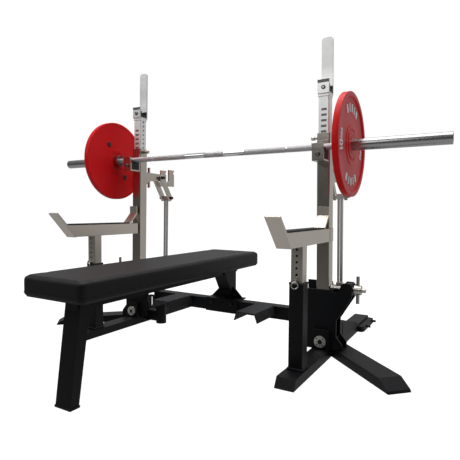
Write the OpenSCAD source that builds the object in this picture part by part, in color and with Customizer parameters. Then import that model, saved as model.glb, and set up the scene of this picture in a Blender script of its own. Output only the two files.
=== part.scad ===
// Competition combo rack with a flat bench, adjustable uprights, spotter arms and a loaded bar.
// Millimetres. X runs along the bar, Y from the bench's foot end to its head end, Z is up.
// The floor is Z = 0 and X = 0 is the plane of symmetry. Each right-hand piece is drawn at +X,
// and its left-hand twin is the mirror image. The pieces are drawn with Y = 0 at the bar's axis
// and are then shifted, so that the origin is below the middle of the whole machine.

/* [Stance] */
// Distance from the centre plane to each upright's centre
side_x = 578; // [560:1:600]
// Height of the bar's axis above the floor when it rests in the bench cups
bar_z = 964; // [930:1:1000]
// Height of the tilt pivot of each upright above the floor
pivot_z = 76; // [70:1:90]
// Inward lean of the uprights at rest, in degrees
lean = 0.7; // [0:0.1:1]

/* [Base] */
// Width of a base beam
beam_w = 80; // [60:1:90]
// Height of the base beams and the outer feet
beam_h = 40; // [30:1:50]
// Reach of a base beam in front of the bar
beam_front = 415; // [380:5:450]
// Reach of a base beam behind the bar
beam_rear = 800; // [700:10:900]
// Width of a diagonal outer foot
foot_w = 100; // [80:5:120]
// Length of a diagonal outer foot from the beam's centre line
foot_len = 541; // [450:1:600]
// Thickness of the housing plates
plate_t = 8; // [6:1:10]

/* [Bench] */
// Length of the pad
pad_len = 1225; // [1220:5:1300]
// Width of the pad
pad_w = 300; // [290:1:320]
// Height of the top of the pad above the floor
pad_top = 450; // [420:1:450]
// Thickness of the cushion without its board
pad_t = 58; // [40:1:70]
// Thickness of the board under the cushion
board_t = 15; // [12:1:20]
// Reach of the pad behind the bar
pad_rear = 232; // [200:1:260]

/* [Uprights] */
// Outside width of the outer tube
tube_w = 60; // [56:1:64]
// Wall of the tubes
wall = 4; // [3:1:5]
// Outside width of the telescoping inner post
post_w = 50; // [46:1:50]
// Height of the top of the outer tube
tube_top = 1035; // [1020:1:1045]
// Height of the top of the inner post in its lowest used hole
post_top = 1206; // [1150:1:1260]
// Spacing of the height holes
hole_pitch = 25; // [20:1:30]

/* [Spotter arms] */
// Distance of the safety post's centre in front of the bar
safety_y = 274; // [250:1:300]
// Underside of the spotter arm
arm_z = 537; // [500:1:560]
// Height of the spotter arm's box
arm_h = 59; // [50:1:65]
// Height of the top of the safety sleeve
sleeve_top = 384; // [360:1:400]

/* [Barbell] */
// Length of the bar
bar_len = 2200; // [2190:1:2200]
// Diameter of the gripping shaft
shaft_d = 28.5; // [28:0.5:29]
// Diameter of the loadable sleeves
sleeve_d = 50; // [49:0.5:50]
// Distance from the centre to the face that the plates rest on
collar_x = 685; // [680:1:690]
// Diameter of a weight plate
disc_d = 450; // [400:1:450]
// Thickness of a weight plate
disc_t = 27; // [25:1:30]

/* [Hidden] */
$fn = 64;
eps = 0.01;

satin_black = [0.09, 0.09, 0.1];
stainless = [0.6, 0.57, 0.53];
bright_steel = [0.78, 0.78, 0.78];
rubber_black = [0.05, 0.05, 0.05];
vinyl_black = [0.08, 0.08, 0.08];
plate_red = [0.78, 0.06, 0.08];

tube_y0 = 37;                        // front face of the outer tube
tube_cy = tube_y0 + tube_w / 2;      // centre of the outer tube
tube_z0 = pivot_z - 28;              // lower end of the outer tube
gap = 1;                             // clearance between parts that slide past each other
plate_y1 = tube_y0 - gap - plate_t;  // front face of the front housing plate
plate_y2 = tube_y0 + tube_w + gap;   // front face of the rear housing plate
pivot_r = 10;
block_t = 20;                        // thickness of the pivot block on the front plate
screw_z = 320;                       // height of the tilt screw
screw_r = 10;
horn_x0 = side_x + 104;              // inner face of the horn block
horn_x1 = side_x + 128;              // outer face of the horn block
pin_z = 1018;                        // height of the height pin
cup_z0 = 902;                        // underside of the bench cup
cup_half = 27;                       // half width of the cups and hooks
cup_y = -40;                         // front face of the bench cup
seat_z = bar_z - shaft_d / 2 - 1;    // bottom of the groove that the bar lies in
lever_y = 235;                       // lift lever's pivot
lever_z = 878;
lever_end_y = 320;                   // pin at the lever's lower end
lever_end_z = 754;
lever_len = norm([lever_end_y - lever_y, lever_end_z - lever_z]);
lever_lean = atan2(lever_end_y - lever_y, lever_z - lever_end_z);
cheek_x = 20;                        // half width of the lever's bracket
arm_x0 = 22;                         // inner faces of the lever's two arms
arm_x1 = 36;
cross_y0 = 85;
cross_w = 60;
cross_z0 = 130;
cross_z1 = 194;
cross_end = 474;
leg_x = 37.5;                        // half width of the bench legs
frame_z1 = pad_top - pad_t - board_t; // top of the bench's steel frame
frame_h = 45;
spine_w = 60;
sleeve_w = 60;
safety_z0 = 185;                     // lower end of the safety post
safety_hole_z = sleeve_top + 14;     // first hole, just above the sleeve's bush
rest_x = horn_x1 + 10;               // inner end of the tilt screw's hub
screw_x1 = side_x + 187;             // outer end of the tilt screw
lean_x = (screw_z - pivot_z) * sin(lean); // inward shift of the tube's face at the screw
nose_x = side_x + tube_w / 2 + 8 - lean_x; // inner end of the tilt screw
bar_y = (pad_len - pad_rear - beam_rear) / 2; // shift that centres the machine on the origin
front_leg_y = -874;                  // rear face of the front leg at the spine
front_leg_lean = 55;                 // how far the leg leans forward at the floor
rear_leg_y0 = 118;
rear_leg_d = 55;
post_z0 = 700;                       // lower end of the inner post
hook_z = post_top + 8;               // underside of the squat hook
rod_z0 = 292;                        // height of the roller's axis at the rod's lower end
arm_end_y = 28;                      // rear end of the arm, clear of the upright

module right() { translate([0, bar_y, 0]) children(); }
module left() { mirror([1, 0, 0]) right() children(); }
// An upright and all that it carries leans inward about its pivot
module leaned() {
    translate([side_x, 0, pivot_z]) rotate([0, -lean, 0]) translate([-side_x, 0, -pivot_z])
        children();
}
module rsq(w, d, r) {
    square([w - 2 * r, d], center = true);
    square([w, d - 2 * r], center = true);
    for (x = [-1, 1], y = [-1, 1])
        translate([x * (w / 2 - r), y * (d / 2 - r)]) circle(r);
}
module box_tube(w, d, t, h, r = 5) {
    linear_extrude(h) difference() {
        rsq(w, d, r);
        rsq(w - 2 * t, d - 2 * t, max(r - t, 1));
    }
}
// A bar along X, Y or Z that starts at its own origin
module along_x(len, r) { rotate([0, 90, 0]) cylinder(h = len, r = r); }
module along_y(len, r) { rotate([-90, 0, 0]) cylinder(h = len, r = r); }
// Outline in the XZ plane, given as x and z pairs and extruded towards +Y
module plate_xz(points, t) {
    rotate([90, 0, 0]) translate([0, 0, -t]) linear_extrude(t) polygon(points);
}
// Outline in the YZ plane, given as y and z pairs and extruded towards +X
module plate_yz(points, t) {
    rotate([90, 0, 90]) linear_extrude(t) polygon(points);
}

// ---- Base ----
module base_beam() {
    x0 = side_x + beam_w / 2;
    translate([side_x - beam_w / 2, 0, 0])
        plate_yz([[-beam_front, 0], [beam_rear, 0], [beam_rear, beam_h],
            [-beam_front + 24, beam_h]], beam_w);
    // Rear foot plate with two stub pegs for storing bands
    linear_extrude(30) polygon([[x0 - 1, 540], [x0 + 22, 540], [x0 + 32, 560],
        [x0 + 32, 785], [x0 - 1, 795]]);
    for (y = [628, 768]) translate([x0 + 31, y, 16]) along_x(20, 7);
}
module outer_foot() {
    slope = 62;
    difference() {
        translate([side_x, 165, 0]) rotate([0, 0, -45]) translate([0, -foot_w / 2, 0])
            rotate([90, 0, 0]) translate([0, 0, -foot_w]) linear_extrude(foot_w)
                polygon([[0, 0], [foot_len, 0], [foot_len - 6, 10], [foot_len - slope, beam_h],
                    [0, beam_h]]);
        translate([side_x - 200, -50, -1]) cube([200 + beam_w / 2 + eps, 400, beam_h + 2]);
    }
}
module housing_plate(top_left, scoop) {
    plate_xz([
        [side_x - 37, beam_h], [side_x + 96, beam_h], [side_x + 96, 66], [side_x + 66, 102],
        [side_x + 66, 176], [side_x + 134, 288], [side_x + 134, 338], [side_x + 124, 350],
        [side_x + 94, 350], [side_x + 86, 342], [side_x + 76, scoop + 8], [side_x + 66, scoop],
        [side_x + 32, scoop], [side_x + 26, top_left], [side_x - 94, top_left],
        [side_x - 94, 255], [side_x - 37, 150]], plate_t);
}
module housing() {
    difference() {
        union() {
            translate([0, plate_y1, 0]) housing_plate(313, 306);
            translate([side_x - 94, plate_y1, 50]) cube([70, plate_t, 220]);
            translate([0, plate_y2, 0]) housing_plate(345, 320);
            // Pivot blocks on the front and rear plates
            translate([side_x - 40, plate_y1 - block_t, beam_h]) cube([80, block_t, 88]);
            translate([side_x - 40, plate_y2 + plate_t, beam_h]) cube([80, 12, 76]);
            // Bars above and below the captive nut that the tilt screw runs in
            for (z = [screw_z - 28, screw_z + 14])
                translate([horn_x0, plate_y1 + plate_t, z])
                    cube([horn_x1 - horn_x0, plate_y2 - plate_y1 - plate_t, 14]);
            // Web that closes the housing's outer side above the beam
            translate([side_x + 56, plate_y1 + plate_t, beam_h])
                cube([8, plate_y2 - plate_y1 - plate_t, 56]);
            // Sloped rib along the beam's outer edge
            translate([side_x + 34, 0, 0]) difference() {
                plate_yz([[plate_y2 + plate_t, beam_h], [530, beam_h], [530, 56],
                    [222, 136], [plate_y2 + plate_t, 136]], 6);
                translate([-1, 226, 58]) cube([8, 12, 62]);
            }
        }
        translate([side_x, plate_y1 - block_t - 1, pivot_z]) along_y(160, pivot_r + 0.5);
    }
}
module horn_nuts() {
    color(satin_black) for (s = [-1, 1]) scale([s, 1, 1]) difference() {
        translate([horn_x0, plate_y1 + plate_t, screw_z - 14])
            cube([horn_x1 - horn_x0, plate_y2 - plate_y1 - plate_t, 28]);
        translate([horn_x0 - 1, tube_cy, screw_z]) along_x(40, screw_r + 0.08);
    }
}
module cross_member() {
    color(satin_black) {
        translate([-cross_end, cross_y0, cross_z0]) difference() {
            cube([2 * cross_end, cross_w, cross_z1 - cross_z0]);
            translate([-1, wall, wall])
                cube([2 * cross_end + 2, cross_w - 2 * wall, cross_z1 - cross_z0 - 2 * wall]);
        }
        for (s = [-1, 1]) scale([s, 1, 1]) {
            translate([cross_end - 30, cross_y0 + cross_w / 2, 0]) cylinder(h = cross_z0, r = 30);
            // Tie from the round leg to the base beam and the housing
            difference() {
                translate([cross_end - 30, cross_y0 + 3, 14])
                    cube([side_x - beam_w / 2 - cross_end + 30, cross_w - 6, 60]);
                translate([cross_end - 30, cross_y0 + cross_w / 2, 0]) cylinder(h = 90, r = 30);
            }
        }
    }
}
module spotter_step() {
    x0 = 205;
    x1 = 305;
    flare = 14;
    drop = 44;
    t = 5;
    y0 = -120;
    color(satin_black) translate([0, y0, 0]) {
        plate_xz([[x0, 195], [x0 - flare, 195 - drop], [x0 - flare + t, 195 - drop],
            [x0 + t, 195 - t], [x1 - t, 195 - t], [x1 + flare - t, 195 - drop],
            [x1 + flare, 195 - drop], [x1, 195]], cross_y0 - y0);
        // Lugs that carry the step on the cross member
        for (x = [x0 + 20, x1 - 28]) translate([x, cross_y0 - y0 - 50, 140]) cube([8, 50, 50]);
    }
}
module pivot_bolts() {
    color(bright_steel) for (s = [-1, 1]) scale([s, 1, 1])
        translate([side_x, 0, pivot_z]) {
            difference() {
                translate([0, plate_y1 - block_t - 9, 0]) along_y(9, 27);
                translate([0, plate_y1 - block_t - 10, 0]) rotate([-90, 0, 0])
                    cylinder(h = 7, r = 8, $fn = 6);
            }
            translate([0, plate_y1 - block_t, 0]) along_y(block_t + 106, pivot_r);
            translate([0, plate_y2 + plate_t + 12, 0]) rotate([-90, 0, 0])
                cylinder(h = 14, r = 17, $fn = 6);
        }
}
module safety_sleeve() {
    color(satin_black) translate([side_x, -safety_y, beam_h]) {
        box_tube(sleeve_w, sleeve_w, wall, sleeve_top - beam_h);
        // Weld fillet round the foot
        linear_extrude(6) difference() {
            rsq(sleeve_w + 10, sleeve_w + 10, 8);
            rsq(sleeve_w, sleeve_w, 5);
        }
    }
}
module sleeve_bushes() {
    color(rubber_black) for (s = [-1, 1]) scale([s, 1, 1])
        translate([side_x, -safety_y, sleeve_top]) linear_extrude(7) difference() {
            rsq(sleeve_w + 3, sleeve_w + 3, 6);
            rsq(post_w + 2 * gap, post_w + 2 * gap, 3);
        }
}

// ---- Bench ----
module bench_pad() {
    color(vinyl_black) translate([0, pad_rear - pad_len / 2, pad_top - pad_t])
        linear_extrude(pad_t) rsq(pad_w, pad_len, 22);
}
module bench_board() {
    color(rubber_black) translate([0, pad_rear - pad_len / 2, frame_z1])
        linear_extrude(board_t) rsq(pad_w - 16, pad_len - 16, 16);
}
module bench_frame() {
    color(satin_black) difference() {
        union() {
            // Spine under the board, and two cross straps that the board is screwed to
            translate([-spine_w / 2, front_leg_y - 30, frame_z1 - frame_h])
                cube([spine_w, 992 + 30, frame_h]);
            for (y = [-840, -400, -20]) translate([-125, y, frame_z1 - 5]) cube([250, 50, 5]);
            // Leaning front leg
            translate([-leg_x, 0, 0]) plate_yz([
                [front_leg_y - front_leg_lean - 17, 6], [front_leg_y - front_leg_lean + 20, 6],
                [front_leg_y + 16, frame_z1 - frame_h], [front_leg_y + 16, frame_z1 - 6],
                [front_leg_y - 24, frame_z1 - 6]], 2 * leg_x);
            translate([-leg_x - 2, front_leg_y - front_leg_lean - 19, 0])
                cube([2 * leg_x + 4, 42, 8]);
        }
        translate([-spine_w / 2 + wall, front_leg_y + 30, frame_z1 - frame_h + wall])
            cube([spine_w - 2 * wall, 1100, frame_h - 2 * wall]);
    }
}
module bench_rear_leg() {
    y0 = rear_leg_y0;
    y1 = y0 + rear_leg_d;
    top = frame_z1;
    color(satin_black) difference() {
        union() {
            translate([-leg_x, y0, cross_z1 + 6]) cube([2 * leg_x, rear_leg_d, top - cross_z1 - 6]);
            // Box gusset from the leg's front up to the board
            for (x = [-leg_x, leg_x - 6]) translate([x, 0, 0])
                plate_yz([[y0, 240], [y0, top], [40, top], [40, top - 12]], 6);
            translate([-leg_x, 0, 0]) plate_yz([[y0, 240], [y0, 250], [48, top - 12], [48, top],
                [40, top], [40, top - 12]], 2 * leg_x);
            // Head plate and its short rear gussets
            translate([-leg_x, y1, 0])
                plate_yz([[0, top - 40], [56, top - 12], [56, top], [0, top]], 2 * leg_x);
            // Side gussets down to the saddle
            for (s = [-1, 1]) scale([s, 1, 1]) translate([0, y0 + 22, 0])
                plate_xz([[leg_x, cross_z1 + 6], [98, cross_z1 + 6], [leg_x, cross_z1 + 66]], 8);
            // Saddle folded over the cross member
            difference() {
                translate([-100, cross_y0 - 6, cross_z0 - 4])
                    cube([200, cross_w + 12, cross_z1 - cross_z0 + 10]);
                translate([-101, cross_y0, cross_z0 - 5])
                    cube([202, cross_w, cross_z1 - cross_z0 + 5]);
            }
            translate([-100, cross_y0 + cross_w + 5, cross_z1]) cube([200, 25, 6]);
        }
        // The spine's end is notched into the leg
        translate([-spine_w / 2, -1, frame_z1 - frame_h]) cube([spine_w, y0 + 1, frame_h + 1]);
        for (x = [-60, 60]) translate([x, cross_y0 - 7, 176]) along_y(8, 5.5);
    }
}
module saddle_bolts() {
    color(rubber_black) {
        for (x = [-60, 60]) translate([x, cross_y0 - 6, 176]) {
            difference() {
                translate([0, -8, 0]) along_y(8, 9);
                translate([0, -8.5, 0]) rotate([-90, 0, 0]) cylinder(h = 5, r = 4.6, $fn = 6);
            }
            along_y(6, 5);
        }
        translate([0, cross_y0 + 14, cross_z1 + 6]) cylinder(h = 7, r = 8);
        for (x = [-100, 100], y = [-815, -375, 5]) translate([x, y, frame_z1 - 9])
            cylinder(h = 4, r = 6);
    }
}

// ---- Uprights ----
module outer_tube() {
    color(stainless) difference() {
        union() {
            translate([side_x, tube_cy, tube_z0])
                box_tube(tube_w, tube_w, wall, tube_top - tube_z0);
            // Boss for the pivot bolt
            translate([side_x, tube_y0, pivot_z]) along_y(tube_w, 18);
            // Collar that carries the height pin
            translate([side_x - tube_w / 2, tube_cy, pin_z]) rotate([0, -90, 0])
                cylinder(h = 8, r = 11);
            // Cheeks of the lift lever's bracket
            for (x = [-cheek_x, cheek_x - 6]) translate([side_x + x, 0, 0]) {
                plate_yz([[tube_y0 + tube_w, lever_z + 24], [lever_y, lever_z + 22],
                    [lever_y, lever_z - 22], [150, lever_z - 24], [120, lever_z - 34],
                    [104, lever_z - 52], [tube_y0 + tube_w, lever_z - 66]], 6);
                translate([0, lever_y, lever_z]) along_x(6, 22);
            }
            // Stop bar between the cheeks
            translate([side_x - 6, 142, lever_z - 66]) cube([12, 12, 122]);
            translate([side_x - cheek_x + 6, 142, lever_z - 12]) cube([2 * cheek_x - 12, 12, 24]);
            // Keeper plate beside the spotter arm's end
            translate([side_x + tube_w / 2, tube_y0 - 2, arm_z]) cube([6, 46, 62]);
        }
        translate([side_x, tube_y0 - 1, pivot_z]) along_y(tube_w + 2, pivot_r + 0.05);
        translate([side_x - tube_w / 2 - 9, tube_cy, pin_z]) along_x(14, 5.4);
        translate([side_x - cheek_x - 1, lever_y, lever_z]) along_x(2 * cheek_x + 2, 8.05);
    }
}
module bench_cup() {
    color(stainless) difference() {
        translate([side_x - cup_half, 0, 0]) {
            plate_yz([[cup_y, cup_z0 - 2], [cup_y, 958], [cup_y - 7, 977], [cup_y, 979],
                [cup_y + 7, 960], [cup_y + 7, cup_z0 + 6], [tube_y0 - 7, cup_z0 + 6],
                [tube_y0 - 7, 1000], [tube_y0, 1000], [tube_y0, cup_z0 - 2]], 2 * cup_half);
        }
        translate([side_x, cup_y - 1, 930]) along_y(9, 4.5);
    }
    color(bright_steel) translate([side_x, cup_y - 3, 930]) along_y(9, 6);
}
module bench_cup_liner() {
    color(rubber_black) difference() {
        translate([side_x - cup_half, cup_y + 7, cup_z0 + 6])
            cube([2 * cup_half, tube_y0 - 14 - cup_y, 52]);
        translate([side_x - 50, 0, 0])
            plate_yz([[-17, seat_z], [17, seat_z], [17, 958], [21, 970], [-21, 970], [-17, 958]], 100);
    }
}
module inner_post() {
    color(bright_steel) difference() {
        union() {
            translate([side_x, tube_cy, post_z0])
                box_tube(post_w, post_w, wall, post_top - post_z0, 4);
            translate([side_x, tube_cy, post_top - 4]) linear_extrude(12) rsq(54, 56, 3);
        }
        for (k = [-7 : 7]) translate([side_x - post_w / 2 - 1, tube_cy, pin_z + k * hole_pitch])
            along_x(wall + 2, 5.5);
    }
}
module squat_hook() {
    color(bright_steel) {
        translate([side_x - cup_half, 0, 0]) difference() {
            plate_yz([[34, hook_z], [99, hook_z], [99, 1300], [92, 1300], [92, hook_z + 7],
                [41, hook_z + 7], [41, 1262], [38, 1276], [31, 1276], [34, 1262]], 2 * cup_half);
        }
        // Tall guard with rounded top corners
        translate([side_x, 99, 0]) rotate([90, 0, 0]) linear_extrude(7) {
            translate([-cup_half, 1290]) square([2 * cup_half, 178]);
            translate([-cup_half + 16, 1460]) square([2 * cup_half - 32, 24]);
            for (s = [-1, 1]) translate([s * (cup_half - 16), 1468]) circle(16);
        }
        translate([side_x, 31.5, 1241]) along_y(6, 6);
    }
}
module squat_hook_liner() {
    color(rubber_black) difference() {
        translate([side_x - cup_half, 41, hook_z + 7]) cube([2 * cup_half, 51, 34]);
        translate([side_x - 50, 66.5, 0])
            plate_yz([[-17, hook_z + 22], [17, hook_z + 22], [17, hook_z + 38], [21, hook_z + 50],
                [-21, hook_z + 50], [-17, hook_z + 38]], 100);
    }
}
module height_pin() {
    color(bright_steel) translate([side_x - tube_w / 2 - 10, tube_cy, pin_z])
        rotate([0, -90, 0]) {
            translate([0, 0, -13]) cylinder(h = 16, r = 5);
            cylinder(h = 9, r = 7);
        }
}
module pin_knob() {
    color(bright_steel) translate([side_x - tube_w / 2 - 19, tube_cy, pin_z])
        rotate([0, -90, 0]) {
            cylinder(h = 15, r = 11);
            translate([0, 0, 15]) cylinder(h = 3, r1 = 11, r2 = 8);
        }
}

// ---- Lift levers ----
module lift_lever() {
    color(stainless) {
        for (x = [-arm_x1, arm_x0]) translate([side_x + x, lever_y, lever_z])
            rotate([lever_lean, 0, 0]) difference() {
                translate([0, -15, -lever_len - 16]) cube([arm_x1 - arm_x0, 30, lever_len + 32]);
                translate([-1, 0, -lever_len]) along_x(20, 8.05);
            }
        // Pivot shaft through the bracket's cheeks
        translate([side_x - arm_x1, lever_y, lever_z]) along_x(2 * arm_x1, 8);
        // Hook plates with round notches
        for (x = [-arm_x1, arm_x1 - 8]) translate([side_x + x, 0, 0]) difference() {
            plate_yz([[272, 846], [297, 827], [352, 827], [352, 932], [297, 932],
                [297, 862]], 8);
            translate([-1, 352, 914]) along_x(10, 9);
        }
    }
}
module lever_caps() {
    color(rubber_black) for (x = [-arm_x1 - 14, arm_x1]) translate([side_x + x, 0, 0]) {
        translate([0, lever_y, lever_z]) along_x(14, 9);
        translate([0, lever_end_y, lever_end_z]) along_x(14, 9);
    }
}
module lift_rod() {
    color(bright_steel) translate([0, lever_end_y, 0]) {
        // Clevis pin, clevis block, round rod and flat bar, and the lower roller
        translate([side_x - arm_x1 + 1, 0, lever_end_z]) along_x(2 * arm_x1 - 2, 8);
        translate([side_x - 17, -13, lever_end_z - 16]) cube([34, 26, 28]);
        translate([side_x - 9, 0, rod_z0]) cylinder(h = lever_end_z - rod_z0 - 10, r = 6.5);
        translate([side_x + 1, -7, rod_z0]) cube([13, 14, lever_end_z - rod_z0 - 10]);
        translate([side_x - 17, -13, rod_z0 - 4]) cube([34, 26, 20]);
        translate([side_x - 34, 0, rod_z0]) along_x(68, 13);
    }
}

// ---- Tilt screws ----
module screw_pad() {
    color(bright_steel) translate([nose_x - 6.5, tube_cy, screw_z])
        difference() {
            along_x(12, 15);
            translate([6, 0, 0]) along_x(7, 7.3);
        }
}
module tilt_screw() {
    color(bright_steel) translate([0, tube_cy, screw_z]) {
        translate([nose_x, 0, 0]) along_x(8, 7);
        translate([nose_x + 6, 0, 0]) along_x(screw_x1 - nose_x - 6, screw_r);
        translate([rest_x, 0, 0]) difference() {
            along_x(30, 22);
            translate([24, 0, 0]) along_x(7, 12);
        }
        translate([rest_x + 14, 0, -62]) cylinder(h = 124, r = 8);
    }
}

// ---- Spotter arms ----
module spotter_arm() {
    z0 = arm_z;
    z1 = arm_z + arm_h;
    yf = -428;
    color(stainless) {
        difference() {
            translate([side_x, -safety_y, safety_z0])
                box_tube(post_w, post_w, wall, arm_z + 2 - safety_z0, 4);
            for (k = [-6 : 5])
                translate([side_x, -safety_y - post_w / 2 - 1, safety_hole_z + k * hole_pitch])
                    along_y(post_w + 2, 5.6);
        }
        // Box of the arm
        translate([side_x - 30, 0, 0]) difference() {
            plate_yz([[yf + 8, z0], [arm_end_y, z0], [arm_end_y, z1], [yf - 46, z1]], 60);
            translate([wall, 0, 0])
                plate_yz([[yf + 20, z0 + wall], [arm_end_y - wall, z0 + wall],
                    [arm_end_y - wall, z1 - wall], [yf - 30, z1 - wall]], 60 - 2 * wall);
        }
        // Slanted front lip
        translate([side_x - 30, 0, 0])
            plate_yz([[yf + 14, z0], [yf - 100, 658], [yf - 109, 654], [yf - 1, z0 - 2]], 60);
        // Rear plate and its slanted brace
        translate([side_x - 26, 0, 0])
            plate_yz([[-40, z1 - 1], [20, 656], [20, 697], [arm_end_y, 697], [arm_end_y, 652],
                [-28, z1 - 1]], 52);
    }
}
module arm_strip() {
    color(rubber_black) translate([side_x - 28, -465, arm_z + arm_h]) cube([56, 424, 7]);
}
module safety_pin() {
    color(bright_steel) translate([side_x, -safety_y - post_w / 2, safety_hole_z]) {
        translate([0, -14, 0]) along_y(post_w + 26, 5);
        translate([0, -20, 0]) along_y(8, 9);
        // Pull ring
        translate([0, -20, -15]) rotate([90, 0, 15])
            rotate_extrude() translate([13, 0]) circle(2.2, $fn = 24);
    }
}

// ---- Barbell ----
module bar_shaft() {
    color(bright_steel) translate([0, 0, bar_z]) {
        translate([-collar_x, 0, 0]) along_x(2 * collar_x, shaft_d / 2);
        for (s = [-1, 1]) scale([s, 1, 1]) translate([collar_x, 0, 0])
            along_x(bar_len / 2 - collar_x - 14, 12.5);
    }
}
module bar_sleeve() {
    color(bright_steel) translate([collar_x - 30, 0, bar_z]) difference() {
        union() {
            along_x(30, 33);
            translate([29, 0, 0]) along_x(bar_len / 2 - collar_x + 1, sleeve_d / 2);
        }
        translate([-1, 0, 0]) along_x(32, shaft_d / 2 + 0.3);
        translate([30, 0, 0]) along_x(500, 12.55);
        translate([bar_len / 2 - collar_x + 18, 0, 0]) along_x(20, 21);
    }
}
module sleeve_cap() {
    color(bright_steel) translate([bar_len / 2 - 12, 0, bar_z]) {
        along_x(7, 21);
        translate([6, 0, 0]) along_x(4, 16);
    }
}
module weight_plate() {
    color(plate_red) translate([collar_x, 0, bar_z]) difference() {
        rotate([90, 0, 90]) rotate_extrude($fn = 128) polygon([
            [38.3, 0.8], [disc_d / 2 - 2, 0.8], [disc_d / 2, 3], [disc_d / 2, disc_t - 3],
            [disc_d / 2 - 3, disc_t], [disc_d / 2 - 22, disc_t], [disc_d / 2 - 26, disc_t - 9],
            [64, disc_t - 9], [60, disc_t - 2], [38.3, disc_t - 2]]);
        for (a = [125, 305]) rotate([a, 0, 0]) translate([-1, 112, 0]) along_x(7, 17);
    }
}
module plate_hub() {
    color(bright_steel) translate([collar_x, 0, bar_z]) rotate([90, 0, 90])
        rotate_extrude($fn = 96) polygon([
            [25.4, 0.6], [38.3, 0.6], [38.3, disc_t - 1], [25.4, disc_t - 1]]);
}

color(satin_black) left() base_beam();  // base_beam_left
color(satin_black) right() base_beam();  // base_beam_right
color(satin_black) left() outer_foot();  // outer_foot_left
color(satin_black) right() outer_foot();  // outer_foot_right
color(satin_black) left() housing();  // housing_left
color(satin_black) right() housing();  // housing_right
right() horn_nuts();
right() cross_member();
left() spotter_step();  // spotter_step_left
right() spotter_step();  // spotter_step_right
right() pivot_bolts();
left() safety_sleeve();  // safety_sleeve_left
right() safety_sleeve();  // safety_sleeve_right
right() sleeve_bushes();
right() bench_pad();
right() bench_board();
right() bench_frame();
right() bench_rear_leg();
right() saddle_bolts();
left() leaned() outer_tube();  // outer_tube_left
right() leaned() outer_tube();  // outer_tube_right
left() leaned() bench_cup();  // bench_cup_left
right() leaned() bench_cup();  // bench_cup_right
left() leaned() bench_cup_liner();  // bench_cup_liner_left
right() leaned() bench_cup_liner();  // bench_cup_liner_right
left() leaned() inner_post();  // inner_post_left
right() leaned() inner_post();  // inner_post_right
left() leaned() squat_hook();  // squat_hook_left
right() leaned() squat_hook();  // squat_hook_right
left() leaned() squat_hook_liner();  // squat_hook_liner_left
right() leaned() squat_hook_liner();  // squat_hook_liner_right
left() leaned() height_pin();  // height_pin_left
right() leaned() height_pin();  // height_pin_right
left() leaned() pin_knob();  // pin_knob_left
right() leaned() pin_knob();  // pin_knob_right
left() leaned() lift_lever();  // lift_lever_left
right() leaned() lift_lever();  // lift_lever_right
left() leaned() lever_caps();  // lever_caps_left
right() leaned() lever_caps();  // lever_caps_right
left() leaned() lift_rod();  // lift_rod_left
right() leaned() lift_rod();  // lift_rod_right
left() screw_pad();  // screw_pad_left
right() screw_pad();  // screw_pad_right
left() tilt_screw();  // tilt_screw_left
right() tilt_screw();  // tilt_screw_right
left() spotter_arm();  // spotter_arm_left
right() spotter_arm();  // spotter_arm_right
left() arm_strip();  // arm_strip_left
right() arm_strip();  // arm_strip_right
left() safety_pin();  // safety_pin_left
right() safety_pin();  // safety_pin_right
right() bar_shaft();
left() bar_sleeve();  // bar_sleeve_left
right() bar_sleeve();  // bar_sleeve_right
left() sleeve_cap();  // sleeve_cap_left
right() sleeve_cap();  // sleeve_cap_right
left() weight_plate();  // weight_plate_left
right() weight_plate();  // weight_plate_right
left() plate_hub();  // plate_hub_left
right() plate_hub();  // plate_hub_right
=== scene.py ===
"""Olympic bench press: the visual model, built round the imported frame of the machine."""

import math

import bmesh
import bpy
from mathutils import Matrix, Vector


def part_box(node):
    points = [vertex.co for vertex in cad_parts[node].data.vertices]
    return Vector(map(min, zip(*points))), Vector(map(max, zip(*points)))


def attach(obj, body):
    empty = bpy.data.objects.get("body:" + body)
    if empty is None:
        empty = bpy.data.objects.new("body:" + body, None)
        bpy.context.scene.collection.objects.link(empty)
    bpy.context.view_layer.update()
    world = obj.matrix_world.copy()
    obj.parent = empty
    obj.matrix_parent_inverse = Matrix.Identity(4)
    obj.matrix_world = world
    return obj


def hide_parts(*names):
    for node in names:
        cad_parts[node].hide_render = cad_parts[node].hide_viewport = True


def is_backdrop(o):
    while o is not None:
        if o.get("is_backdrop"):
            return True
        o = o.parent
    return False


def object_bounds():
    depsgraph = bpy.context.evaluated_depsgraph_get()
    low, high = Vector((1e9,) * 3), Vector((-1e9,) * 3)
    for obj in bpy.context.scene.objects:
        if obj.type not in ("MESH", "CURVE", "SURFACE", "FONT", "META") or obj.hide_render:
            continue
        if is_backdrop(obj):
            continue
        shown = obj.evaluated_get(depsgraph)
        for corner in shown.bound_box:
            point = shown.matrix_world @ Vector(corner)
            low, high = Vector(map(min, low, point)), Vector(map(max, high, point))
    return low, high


bl_info = {
    "name": "Olympic bench press",
    "version": (1, 0, 0),
    "blender": (4, 5, 0),
    "location": "3D View > Sidebar > Bench Press",
    "description": "Builds the cushion, plates, bar and finishes round the packed frame",
    "category": "Object",
}

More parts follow.
